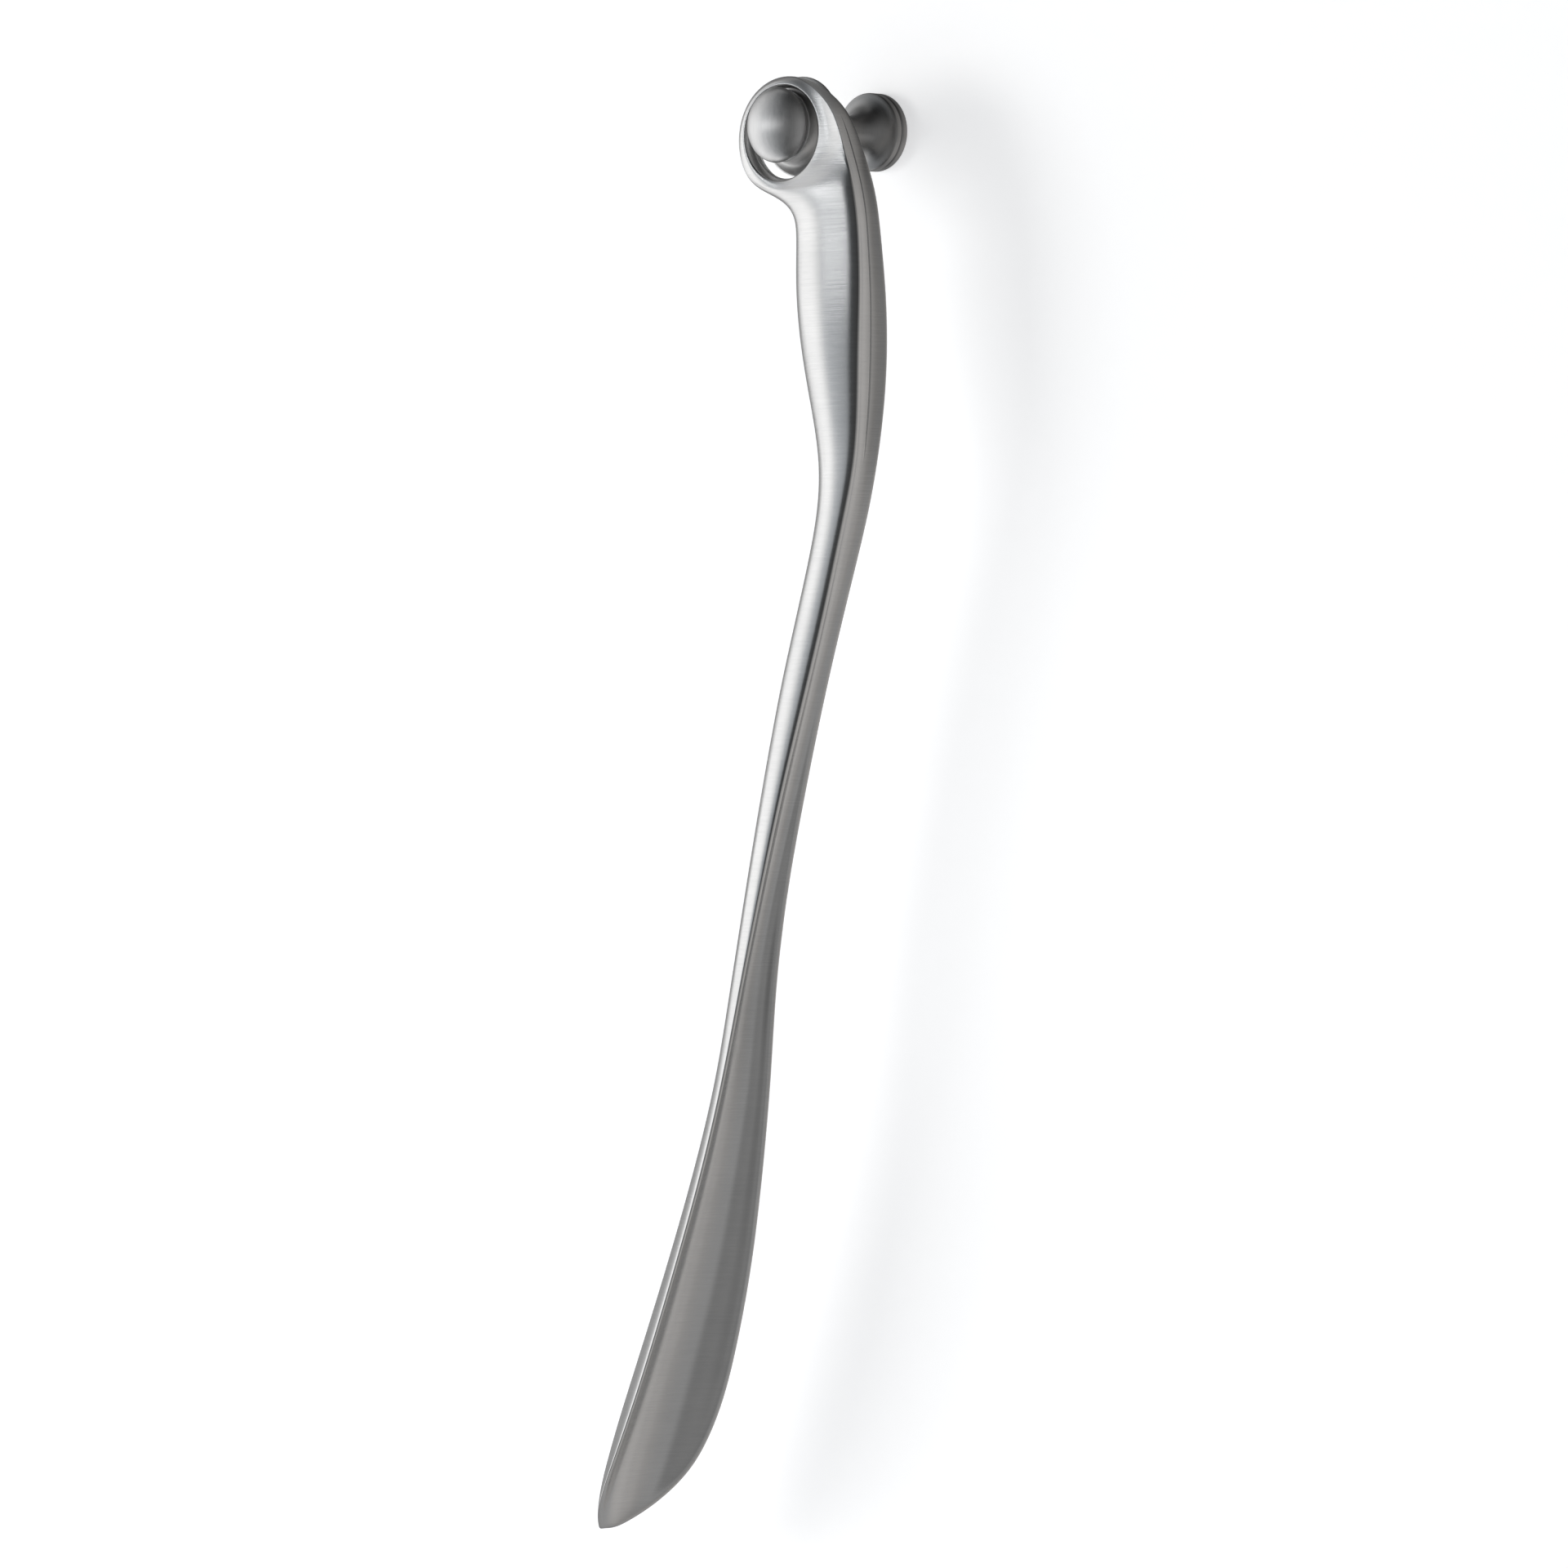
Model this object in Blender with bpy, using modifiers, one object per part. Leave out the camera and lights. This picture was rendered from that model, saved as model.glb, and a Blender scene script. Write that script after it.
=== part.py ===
"""Long shoehorn hanging on its round wall hook.

Metres, +Z up. The origin is the centre of the hook's wall face. The wall is the plane Y = 0, and the hook
stands out of it towards -Y. The shoehorn hangs in a plane parallel to the wall, about which it is symmetric:
its hollow side faces +X, and its convex back faces -X.
"""
import math

import bmesh
import bpy
from mathutils import Matrix, Vector

MM = 0.001
GAP = 0.3                     # between pieces that touch on the real object

# Hook, in millimetres: radii, and distances out from the wall
PLATE_R, PLATE_OUT = 15.2, 3.2
BOSS_R, BOSS_OUT = 10.8, 5.6
NECK_R, NECK_OUT = 5.65, 43.6
BELL_RIM_OUT, BELL_FLARE_OUT = 6.6, 19.0
DISC_R, DISC_OUT = 19.4, 46.2
SEAT_R, SEAT_BACK, SEAT_OUT = 13.9, 50.3, 57.0
KNOB_R, KNOB_RIM_OUT, KNOB_CROWN = 14.5, 59.7, 6.0
STUD_R, STUD_IN, STUD_OUT = 2.5, 28.3, 61.7
SCREW_X, SCREW_R, SCREW_HEAD_R, SCREW_LENGTH = 7.0, 1.75, 3.4, 32.0
PLUG_R, PLUG_LENGTH = 3.0, 28.0
GRUB_R, GRUB_OUT = 0.75, 5.1
TURN_STEPS = 48

# Shoehorn, in millimetres: its plane of symmetry, and the eye's centre just under the hook's axis
MID_PLANE_OUT = 53.4
EYE_DROP = 2.9
EYE_EDGE_R, EYE_MID_R = 18.7, 17.15
SMOOTHING = 1                 # subdivision level
ROW_SPACING = 17.0
CAGE_GROWTH = 1.045           # a subdivided ring of twelve lies this much inside its cage

# Stations down the shoehorn: height, rim x, back x, width at the rims, sweep of the outer curve in degrees,
# depth of the hollow, and wall at the rim
STATIONS = (
    (-46.0, 41.6, 5.1, 14.4, 112, 1.1, 1.6),
    (-63.0, 42.9, 4.9, 16.2, 113, 1.2, 1.6),
    (-83.0, 43.0, 7.3, 18.1, 113, 1.2, 1.6),
    (-105.0, 42.3, 12.1, 17.3, 112, 1.2, 1.6),
    (-125.0, 40.4, 16.7, 14.6, 106, 1.2, 1.6),
    (-140.0, 37.4, 17.4, 14.8, 102, 1.1, 1.7),
    (-155.0, 33.2, 15.2, 14.8, 100, 1.1, 1.8),
    (-185.0, 24.2, 6.5, 13.2, 98, 1.2, 1.9),
    (-216.0, 14.6, -2.6, 13.1, 97, 1.5, 2.0),
    (-255.0, 3.1, -11.6, 15.0, 96, 2.4, 2.1),
    (-293.0, -6.8, -19.4, 16.8, 95, 4.0, 2.2),
    (-330.0, -14.7, -26.0, 21.2, 90, 6.2, 2.4),
    (-369.5, -21.4, -32.5, 29.0, 86, 7.9, 2.4),
    (-405.5, -29.0, -42.4, 37.0, 84, 10.5, 2.5),
    (-445.5, -39.6, -56.0, 46.5, 80, 13.4, 2.5),
    (-484.5, -52.4, -71.2, 52.8, 77, 15.6, 2.5),
    (-502.0, -59.6, -78.2, 54.0, 75, 15.3, 2.5),
    (-518.5, -68.5, -84.5, 51.4, 70, 12.6, 2.5),
    (-529.0, -76.7, -88.9, 44.0, 62, 7.9, 2.4),
    (-537.5, -84.7, -92.5, 31.5, 50, 3.5, 2.3),
    (-543.0, -90.7, -95.3, 17.5, 42, 1.2, 2.0),
    (-545.5, -93.9, -96.7, 8.5, 40, 0.4, 1.5),
)
# How far round the outer curve each point of a section lies, from the back to the rim
OUTER_SHARES = (0, 0.07, 0.14, 0.22, 0.31, 0.47, 0.66, 0.93, 1)
STRIP_POINTS = 3              # points between the rim line and the middle of the hollow side
RIM_TURN = 0.4                # how far the handle's sides swell, and turn in again at the rim line

# Rows that fan out from the eye into the handle: back end, rim end, width, sag away from the eye
FAN_ROWS = (
    ((-9.0, -26.0), (36.0, -17.2), 12.8, 3.4),
    ((-0.5, -29.8), (38.7, -26.2), 13.8, 1.0),
    ((4.9, -35.8), (40.5, -35.8), 14.0, 0.0),
)
FAN_SWEEP, FAN_HOLLOW = 112, 0.9

# Spokes round the eye, anticlockwise: angle, radius and half thickness of the eye's edge, the band's middle
# and its outline, and how far the outline's middle stands proud of its edges
SPOKES = (
    (225, 4.3, (21.5, 4.5), (25.8, 2.9), 0.9),
    (255, 4.5, (20.8, 4.8), (22.6, 4.9), 0),
    (285, 4.7, (20.8, 5.2), (22.7, 5.5), 0),
    (315, 4.8, (21.4, 5.5), (23.8, 5.8), 0),
    (345, 4.6, (26.2, 4.2), (35.0, 5.8), -0.8),
    (15, 4.3, (23.0, 3.9), (28.7, 4.8), -0.6),
    (45, 4.0, (21.2, 3.6), (23.7, 3.4), -0.2),
    (75, 3.9, (20.9, 3.8), (22.7, 2.2), 0.4),
    (105, 3.8, (20.7, 3.8), (22.3, 2.3), 0.7),
    (135, 3.8, (20.8, 3.9), (22.5, 2.6), 0.9),
    (165, 3.9, (21.0, 4.0), (23.2, 2.8), 0.9),
    (195, 4.1, (21.2, 4.2), (24.1, 2.9), 0.9),
)
HANDLE_SPOKES = (1, 2, 3)     # these spokes run on into the handle
EYE_WALL = (0.45, 0.62)       # the eye wall's middle point: share of the bulge, and of the half thickness
RIM_CREASE, BLADE_CREASE, EYE_CREASE = 0.85, 0.35, 0.3
BLADE_TOP, HANDLE_FOOT = -330.0, -200.0

ALUMINIUM = ((0.62, 0.63, 0.64), 0.34, 1.0)
TURNED = ((0.50, 0.51, 0.52), 0.30, 1.0)
STEEL = ((0.46, 0.46, 0.47), 0.35, 1.0)
NYLON = ((0.42, 0.43, 0.45), 0.6, 0.0)


def clear_scene():
    for obj in list(bpy.data.objects):
        bpy.data.objects.remove(obj, do_unlink=True)


def collection(name):
    group = bpy.data.collections.new(name)
    bpy.context.scene.collection.children.link(group)
    return group


def material(name, look):
    colour, roughness, metallic = look
    mat = bpy.data.materials.new(name)
    mat.use_nodes = True
    shader = mat.node_tree.nodes["Principled BSDF"]
    shader.inputs["Base Color"].default_value = (*colour, 1.0)
    shader.inputs["Roughness"].default_value = roughness
    shader.inputs["Metallic"].default_value = metallic
    return mat


def add_object(name, mesh, group, look=None, at=(0, 0, 0)):
    """Put a mesh in a collection, with its own material, and its origin at a point in millimetres."""
    obj = bpy.data.objects.new(name, mesh)
    obj.location = Vector(at) * MM
    group.objects.link(obj)
    if look:
        mesh.materials.append(material(name, look))
    return obj


def cutter(name, mesh, group, at=(0, 0, 0)):
    obj = add_object(name, mesh, group, at=at)
    obj.hide_render = True
    obj.display_type = "WIRE"
    return obj


def cut(obj, tool):
    mod = obj.modifiers.new(tool.name, "BOOLEAN")
    mod.operation = "DIFFERENCE"
    mod.solver = "EXACT"
    mod.object = tool


def arc(centre, radii, start, end, steps):
    """Points of an elliptical arc in a (radius, out) profile, between two angles in degrees."""
    points = []
    for i in range(steps + 1):
        angle = math.radians(start + (end - start) * i / steps)
        points.append((centre[0] + radii[0] * math.cos(angle), centre[1] + radii[1] * math.sin(angle)))
    return points


def turned(name, profile, group, look, x=0.0, closed=False, steps=TURN_STEPS):
    """Turn a (radius, distance out from the wall) profile about an axis square to the wall."""
    mesh = bpy.data.meshes.new(name)
    points = [(r * MM, 0, out * MM) for r, out in profile]
    edges = [(i, i + 1) for i in range(len(points) - 1)]
    if closed:
        edges.append((len(points) - 1, 0))
    mesh.from_pydata(points, edges, [])
    obj = add_object(name, mesh, group, look, at=(x, 0, 0))
    obj.rotation_euler = (math.radians(90), 0, 0)
    screw = obj.modifiers.new("turn", "SCREW")
    screw.steps = screw.render_steps = steps
    screw.use_merge_vertices = True
    screw.merge_threshold = 0.00001
    screw.use_smooth_shade = True
    return obj


def rod(radius, length, sides=24):
    """A cylinder mesh about Z, centred on its origin, in millimetres."""
    bm = bmesh.new()
    bmesh.ops.create_cone(bm, cap_ends=True, segments=sides, radius1=radius * MM, radius2=radius * MM,
                          depth=length * MM)
    mesh = bpy.data.meshes.new("rod")
    bm.to_mesh(mesh)
    bm.free()
    return mesh


def box(size):
    """A box mesh centred on its origin, in millimetres."""
    bm = bmesh.new()
    bmesh.ops.create_cube(bm, size=1.0, matrix=Matrix.Diagonal(Vector((*size, 1 / MM)) * MM))
    mesh = bpy.data.meshes.new("box")
    bm.to_mesh(mesh)
    bm.free()
    return mesh


# Hook

def make_wall_plate(parts, cutters):
    chamfer = 0.5
    plate = turned("wall_plate", [
        (0, BOSS_OUT), (BOSS_R - chamfer, BOSS_OUT), (BOSS_R, BOSS_OUT - chamfer), (BOSS_R, PLATE_OUT),
        (PLATE_R - 2 * chamfer, PLATE_OUT), (PLATE_R, PLATE_OUT - 2 * chamfer), (PLATE_R, chamfer),
        (PLATE_R - chamfer, 0), (0, 0)], parts, TURNED)
    head_seat = BOSS_OUT - 4 * GAP
    for side, x in (("left", -SCREW_X), ("right", SCREW_X)):
        hole = turned("screw_hole_" + side, [
            (0, BOSS_OUT + 1), (SCREW_HEAD_R + GAP, BOSS_OUT + 1), (SCREW_HEAD_R + GAP, head_seat),
            (SCREW_R + GAP, head_seat - (SCREW_HEAD_R - SCREW_R)), (SCREW_R + GAP, -1), (0, -1)],
            cutters, None, x=x, steps=24)
        hole.hide_render = True
        hole.display_type = "WIRE"
        cut(plate, hole)


def make_wall_screw(side, x, parts, cutters):
    """A countersunk screw. Its head lies just under the boss's face, and its point is in the wall."""
    head_out = BOSS_OUT - 2 * GAP
    neck_out = head_out - GAP - (SCREW_HEAD_R - SCREW_R)
    end = head_out - SCREW_LENGTH
    screw = turned("wall_screw_" + side, [
        (0, head_out), (SCREW_HEAD_R, head_out), (SCREW_HEAD_R, head_out - GAP), (SCREW_R, neck_out),
        (SCREW_R, end + 3.5), (0.4, end + 0.3), (0, end)], parts, STEEL, x=x, steps=24)
    for turn, name in ((0, "slot_a_"), (90, "slot_b_")):
        slot = cutter(name + side, box((3.6, 2.4, 0.8)), cutters, at=(x, -head_out, 0))
        slot.rotation_euler = (0, math.radians(turn), 0)
        cut(screw, slot)


def make_wall_plug(side, x, parts, cutters):
    """A sleeve round the screw, just behind the wall's face, slit at its far end so that it can spread."""
    bore, start = SCREW_R + GAP, -0.5
    end = start - PLUG_LENGTH
    plug = turned("wall_plug_" + side, [
        (bore, start), (PLUG_R, start), (PLUG_R, end + 1.5), (PLUG_R - 0.4, end), (bore, end)],
        parts, NYLON, x=x, closed=True, steps=24)
    slit_length = 0.6 * PLUG_LENGTH
    slit = cutter("plug_slit_" + side, box((0.8, slit_length, 3 * PLUG_R)), cutters,
                  at=(x, -end - slit_length / 2 + 1, 0))
    cut(plug, slit)


def make_hook_base(parts, cutters):
    """The neck and the bell, which fits over the plate's boss. The neck's end is bored for the stud."""
    bore, recess_r = STUD_R + GAP, BOSS_R + GAP
    rim_back = PLATE_OUT + GAP
    flare = arc((PLATE_R, BELL_FLARE_OUT), (PLATE_R - NECK_R, BELL_FLARE_OUT - BELL_RIM_OUT), 180, 262, 9)
    base = turned("hook_base", [
        (0, STUD_IN - GAP), (bore, STUD_IN - GAP), (bore, NECK_OUT), (NECK_R - 0.3, NECK_OUT),
        (NECK_R, NECK_OUT - 0.3), *flare, (PLATE_R, BELL_RIM_OUT - 0.8), (PLATE_R, rim_back + 0.4),
        (PLATE_R - 0.4, rim_back), (recess_r, rim_back), (recess_r, BOSS_OUT + GAP), (0, BOSS_OUT + GAP)],
        parts, TURNED)
    hole = cutter("grub_hole", rod(GRUB_R + GAP, 8), cutters, at=(0, -GRUB_OUT, -PLATE_R + 1))
    cut(base, hole)


def make_grub_screw(parts, cutters):
    """The set screw under the bell, with a hexagon socket in its outer end."""
    start, end = BOSS_R + GAP, PLATE_R - 0.5
    middle = -(start + end) / 2
    screw = add_object("grub_screw", rod(GRUB_R, end - start, 16), parts, STEEL, at=(0, -GRUB_OUT, middle))
    socket = cutter("grub_socket", rod(0.55, 3, 6), cutters, at=(0, -GRUB_OUT, -end))
    cut(screw, socket)


def make_hook_collar(parts):
    """The round seat that the eye hangs on, and the flared disc behind it."""
    bore, back = STUD_R + GAP, NECK_OUT + GAP
    flare = arc((DISC_R, SEAT_BACK), (DISC_R - SEAT_R, SEAT_BACK - DISC_OUT), 180, 262, 8)
    turned("hook_collar", [
        (bore, SEAT_OUT), (SEAT_R - 0.4, SEAT_OUT), (SEAT_R, SEAT_OUT - 0.4), *flare,
        (DISC_R, DISC_OUT - 0.5), (DISC_R - 0.5, back), (bore, back)], parts, TURNED, closed=True)


def make_hook_knob(parts):
    """The mushroom head, with a blind bore for the stud in its back."""
    bore, back = STUD_R + GAP, SEAT_OUT + GAP
    crown = arc((0, KNOB_RIM_OUT), (KNOB_R, KNOB_CROWN), 90, 0, 12)
    turned("hook_knob", [
        *crown, (KNOB_R - 0.1, KNOB_RIM_OUT - 0.3), (KNOB_R - 2.6, back), (bore, back),
        (bore, STUD_OUT + GAP), (0, STUD_OUT + GAP)], parts, TURNED)


def make_hook_stud(parts):
    turned("hook_stud", [
        (0, STUD_OUT), (STUD_R - 0.4, STUD_OUT), (STUD_R, STUD_OUT - 0.4), (STUD_R, STUD_IN + 0.4),
        (STUD_R - 0.4, STUD_IN), (0, STUD_IN)], parts, STEEL, steps=24)


# Shoehorn

def smooth_between(stations, height):
    """A station's values at any height, on a smooth curve through the stations."""
    last = len(stations) - 1
    i = 0
    while i < last - 1 and height < stations[i + 1][0]:
        i += 1
    here, there = stations[i], stations[i + 1]
    before, after = stations[max(i - 1, 0)], stations[min(i + 2, last)]
    span = there[0] - here[0]
    t = (height - here[0]) / span
    values = []
    for k in range(1, len(here)):
        slope_here = (there[k] - before[k]) / (there[0] - before[0]) * span
        slope_there = (after[k] - here[k]) / (after[0] - here[0]) * span
        values.append(
            (2 * t**3 - 3 * t**2 + 1) * here[k] + (t**3 - 2 * t**2 + t) * slope_here
            + (3 * t**2 - 2 * t**3) * there[k] + (t**3 - t**2) * slope_there)
    return values


def row_heights():
    """Heights of the rows: even steps down to the last stations, which are rows of their own."""
    blade_end = next(i for i, s in enumerate(STATIONS) if s[0] < -490)
    top, bottom = STATIONS[0][0], STATIONS[blade_end][0]
    count = round((top - bottom) / ROW_SPACING)
    heights = [top + (bottom - top) * i / count for i in range(count)]
    return heights + [s[0] for s in STATIONS[blade_end:]]


def handle_share(height):
    """1 on the handle and shaft, falling to 0 where the blade starts."""
    return min(1.0, max(0.0, (height - BLADE_TOP) / (HANDLE_FOOT - BLADE_TOP)))


def section(back, rim, width, sweep, hollow, wall, sag=0.0):
    """Half of a cross-section, from the back's middle to the rim and on to the hollow's middle.

    back and rim are (x, z) places on the plane of symmetry. The outer curve and the hollow are elliptical.
    Each point is (x, depth, z), and the depth is negative, on the side away from the wall.
    """
    chord = Vector((rim[0] - back[0], rim[1] - back[1]))
    down = Vector((chord[1], -chord[0])).normalized()

    def place(share, depth):
        bow = sag * 4 * share * (1 - share)
        x = back[0] + chord[0] * share + down[0] * bow
        z = back[1] + chord[1] * share + down[1] * bow
        return (x, -depth, z)

    sweep = math.radians(sweep)
    turn = RIM_TURN * handle_share(rim[1])
    points = []
    for share in OUTER_SHARES[:-1]:
        angle = sweep * share
        points.append(place((1 - math.cos(angle)) / (1 - math.cos(sweep)),
                            (width / 2 + turn) * math.sin(angle) / math.sin(sweep)))
    points.append(place(1, width / 2 - turn))
    inner_sweep = sweep * min(1.0, 0.5 + hollow / 12)
    inner_width = width / 2 - wall
    hollow_share = hollow / chord.length
    for i in range(STRIP_POINTS + 1):
        angle = inner_sweep * (1 - i / STRIP_POINTS)
        sunk = (math.cos(angle) - math.cos(inner_sweep)) / (1 - math.cos(inner_sweep))
        points.append(place(1 - hollow_share * sunk, inner_width * math.sin(angle) / math.sin(inner_sweep)))
    return points


def spoke(angle, edge_depth, middle, outline, proud, in_handle):
    """Half of the band's section at an angle round the eye, from its wall's middle to the outline's middle."""
    direction = Vector((math.cos(math.radians(angle)), math.sin(math.radians(angle))))

    def place(radius, depth):
        return (direction[0] * radius, -depth, direction[1] * radius - EYE_DROP)

    bulge = EYE_EDGE_R - EYE_MID_R
    points = [
        place(EYE_MID_R * CAGE_GROWTH, 0),
        place((EYE_EDGE_R - bulge * EYE_WALL[0]) * CAGE_GROWTH, edge_depth * EYE_WALL[1]),
        place(EYE_EDGE_R * CAGE_GROWTH, edge_depth),
        place(*middle),
        place(*outline),
    ]
    if in_handle:
        return points
    for i in range(1, STRIP_POINTS + 2):
        turn = math.radians(90) * i / (STRIP_POINTS + 1)
        points.append(place(outline[0] + proud * math.sin(turn), outline[1] * math.cos(turn)))
    return points


def rim_crease(height):
    """The rim line is crisp along the handle, and softer where it becomes the blade's rolled rim."""
    return BLADE_CREASE + (RIM_CREASE - BLADE_CREASE) * handle_share(height)


def shoehorn_cage():
    """The front half of the cage, open on the plane of symmetry, and the crease of some of its edges."""
    bm = bmesh.new()
    crease = bm.edges.layers.float.new("crease_edge")

    def verts(points):
        return [bm.verts.new(Vector((x, y, z + EYE_DROP)) * MM) for x, y, z in points]

    def skin(one, two):
        """Faces between two lines of points."""
        for i in range(min(len(one), len(two)) - 1):
            bm.faces.new((one[i], one[i + 1], two[i + 1], two[i]))

    spokes = []
    for i, values in enumerate(SPOKES):
        spokes.append(verts(spoke(*values, in_handle=i in HANDLE_SPOKES)))
    for i, one in enumerate(spokes):
        skin(one, spokes[(i + 1) % len(spokes)])

    left, right = spokes[HANDLE_SPOKES[0] - 1], spokes[HANDLE_SPOKES[-1] + 1]
    edge = len(spokes[HANDLE_SPOKES[0]]) - 1
    first_row = left[:edge - 1:-1] + [spokes[i][edge] for i in HANDLE_SPOKES] + right[edge:]
    rows = [first_row]
    for back, rim, width, sag in FAN_ROWS:
        rows.append(verts(section(back, rim, width, FAN_SWEEP, FAN_HOLLOW, STATIONS[0][6], sag)))
    for height in row_heights():
        rim_x, back_x, width, sweep, hollow, wall = smooth_between(STATIONS, height)
        rows.append(verts(section((back_x, height), (rim_x, height), width, sweep, hollow, wall)))
    for one, two in zip(rows, rows[1:]):
        skin(one, two)
    bm.faces.new(rows[-1])

    rim = len(OUTER_SHARES) - 1
    for one, two in zip(rows, rows[1:]):
        height = two[rim].co.z / MM - EYE_DROP
        bm.edges.get((one[rim], two[rim]))[crease] = rim_crease(height)
    right_side = range(HANDLE_SPOKES[-1] + 1, HANDLE_SPOKES[-1] + 4)
    for i in right_side:
        fade = 1 - (i - right_side[0]) / (2 * len(right_side))
        bm.edges.get((spokes[i][edge], spokes[i + 1][edge]))[crease] = RIM_CREASE * fade
    for i, one in enumerate(spokes):
        bm.edges.get((one[2], spokes[(i + 1) % len(spokes)][2]))[crease] = EYE_CREASE
    bmesh.ops.recalc_face_normals(bm, faces=bm.faces)
    return bm


def make_shoehorn(parts):
    bm = shoehorn_cage()
    mesh = bpy.data.meshes.new("shoehorn")
    bm.to_mesh(mesh)
    bm.free()
    horn = add_object("shoehorn", mesh, parts, ALUMINIUM, at=(0, -MID_PLANE_OUT, -EYE_DROP))
    mirror = horn.modifiers.new("other_half", "MIRROR")
    mirror.use_axis = (False, True, False)
    mirror.merge_threshold = 0.00001
    smooth = horn.modifiers.new("smooth", "SUBSURF")
    smooth.levels = smooth.render_levels = SMOOTHING
    mesh.shade_smooth()


def main():
    clear_scene()
    parts = collection("long_shoehorn")
    cutters = collection("cutters")
    make_wall_plate(parts, cutters)
    for side, x in (("left", -SCREW_X), ("right", SCREW_X)):
        make_wall_screw(side, x, parts, cutters)
        make_wall_plug(side, x, parts, cutters)
    make_hook_base(parts, cutters)
    make_grub_screw(parts, cutters)
    make_hook_collar(parts)
    make_hook_stud(parts)
    make_hook_knob(parts)
    make_shoehorn(parts)


main()
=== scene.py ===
"""Looks for the long shoehorn on its wall hook: fine meshes, brushed metals, a pale wall and soft light.

Lengths named in millimetres are multiplied by MM where a mesh is made. The shoehorn's plane of symmetry is
parallel to the wall, its hollow side faces +X, and the wall is the plane Y = 0.
"""
import math

import bmesh
import bpy
from mathutils import Matrix, Vector


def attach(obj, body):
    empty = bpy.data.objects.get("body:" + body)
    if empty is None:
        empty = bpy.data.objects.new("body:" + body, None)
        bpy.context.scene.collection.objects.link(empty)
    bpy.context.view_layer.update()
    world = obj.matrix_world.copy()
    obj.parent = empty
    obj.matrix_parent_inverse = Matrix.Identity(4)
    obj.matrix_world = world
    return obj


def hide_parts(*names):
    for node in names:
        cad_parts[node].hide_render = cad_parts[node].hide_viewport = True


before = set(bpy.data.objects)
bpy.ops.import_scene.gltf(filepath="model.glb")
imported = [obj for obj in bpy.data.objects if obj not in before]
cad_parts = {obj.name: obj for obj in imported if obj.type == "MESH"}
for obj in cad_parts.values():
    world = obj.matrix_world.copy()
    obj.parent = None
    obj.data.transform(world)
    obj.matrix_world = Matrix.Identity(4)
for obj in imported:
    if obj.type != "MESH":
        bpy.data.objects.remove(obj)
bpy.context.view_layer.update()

MM = 0.001
GAP = 0.3

# Hook, in millimetres, as in the CAD: radii, and distances out from the wall
PLATE_R, PLATE_OUT = 15.2, 3.2
BOSS_R, BOSS_OUT = 10.8, 5.6
NECK_R, NECK_OUT = 5.65, 43.6
BELL_RIM_OUT, BELL_FLARE_OUT = 6.6, 19.0
DISC_R, DISC_OUT = 19.4, 46.2
SEAT_R, SEAT_BACK, SEAT_OUT = 13.9, 50.3, 57.0
KNOB_R, KNOB_RIM_OUT, KNOB_CROWN = 14.5, 59.7, 6.0
STUD_R, STUD_IN, STUD_OUT = 2.5, 28.3, 61.7
SCREW_X, SCREW_R, SCREW_HEAD_R, SCREW_LENGTH = 7.0, 1.75, 3.4, 32.0
PLUG_R, PLUG_LENGTH = 3.0, 28.0
GRUB_R, GRUB_OUT = 0.75, 5.1
TURN_STEPS = 144

# Shoehorn, in millimetres, as in the CAD
MID_PLANE_OUT = 53.4
EYE_DROP = 2.9
EYE_EDGE_R, EYE_MID_R = 18.7, 17.15
SMOOTHING = 3
ROW_SPACING, EVEN_ROWS_FOOT = 17.0, -490.0
CAGE_GROWTH = 1.045

# Stations down the shoehorn: height, rim x, back x, width at the rims, sweep of the outer curve in degrees,
# depth of the hollow, and wall at the rim
STATIONS = (
    (-46.0, 41.6, 5.1, 14.4, 112, 1.1, 1.6),
    (-63.0, 42.9, 4.9, 16.2, 113, 1.2, 1.6),
    (-83.0, 43.0, 7.3, 18.1, 113, 1.2, 1.6),
    (-105.0, 42.3, 12.1, 17.3, 112, 1.2, 1.6),
    (-125.0, 40.4, 16.7, 14.6, 106, 1.2, 1.6),
    (-140.0, 37.4, 17.4, 14.8, 102, 1.1, 1.7),
    (-155.0, 33.2, 15.2, 14.8, 100, 1.1, 1.8),
    (-185.0, 24.2, 6.5, 13.2, 98, 1.2, 1.9),
    (-216.0, 14.6, -2.6, 13.1, 97, 1.5, 2.0),
    (-255.0, 3.1, -11.6, 15.0, 96, 2.4, 2.1),
    (-293.0, -6.8, -19.4, 16.8, 95, 4.0, 2.2),
    (-330.0, -14.7, -26.0, 21.2, 90, 6.2, 2.4),
    (-369.5, -21.4, -32.5, 29.0, 86, 7.9, 2.4),
    (-405.5, -29.0, -42.4, 37.0, 84, 10.5, 2.5),
    (-445.5, -39.6, -56.0, 46.5, 80, 13.4, 2.5),
    (-484.5, -52.4, -71.2, 52.8, 77, 15.6, 2.5),
    (-502.0, -59.6, -78.2, 54.0, 75, 15.3, 2.5),
    (-518.5, -68.5, -84.5, 51.4, 70, 12.6, 2.5),
    (-529.0, -76.7, -88.9, 44.0, 62, 7.9, 2.4),
    (-537.5, -84.7, -92.5, 31.5, 50, 3.5, 2.3),
    (-543.0, -90.7, -95.3, 17.5, 42, 1.2, 2.0),
    (-545.5, -93.9, -96.7, 8.5, 40, 0.4, 1.5),
)
OUTER_SHARES = (0, 0.07, 0.14, 0.22, 0.31, 0.47, 0.66, 0.93, 1)
STRIP_POINTS = 3
RIM_TURN = 0.4

# Rows that fan out from the eye into the handle: back end, rim end, width, sag away from the eye
FAN_ROWS = (
    ((-9.0, -26.0), (36.0, -17.2), 12.8, 3.4),
    ((-0.5, -29.8), (38.7, -26.2), 13.8, 1.0),
    ((4.9, -35.8), (40.5, -35.8), 14.0, 0.0),
)
FAN_SWEEP, FAN_HOLLOW = 112, 0.9

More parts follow.
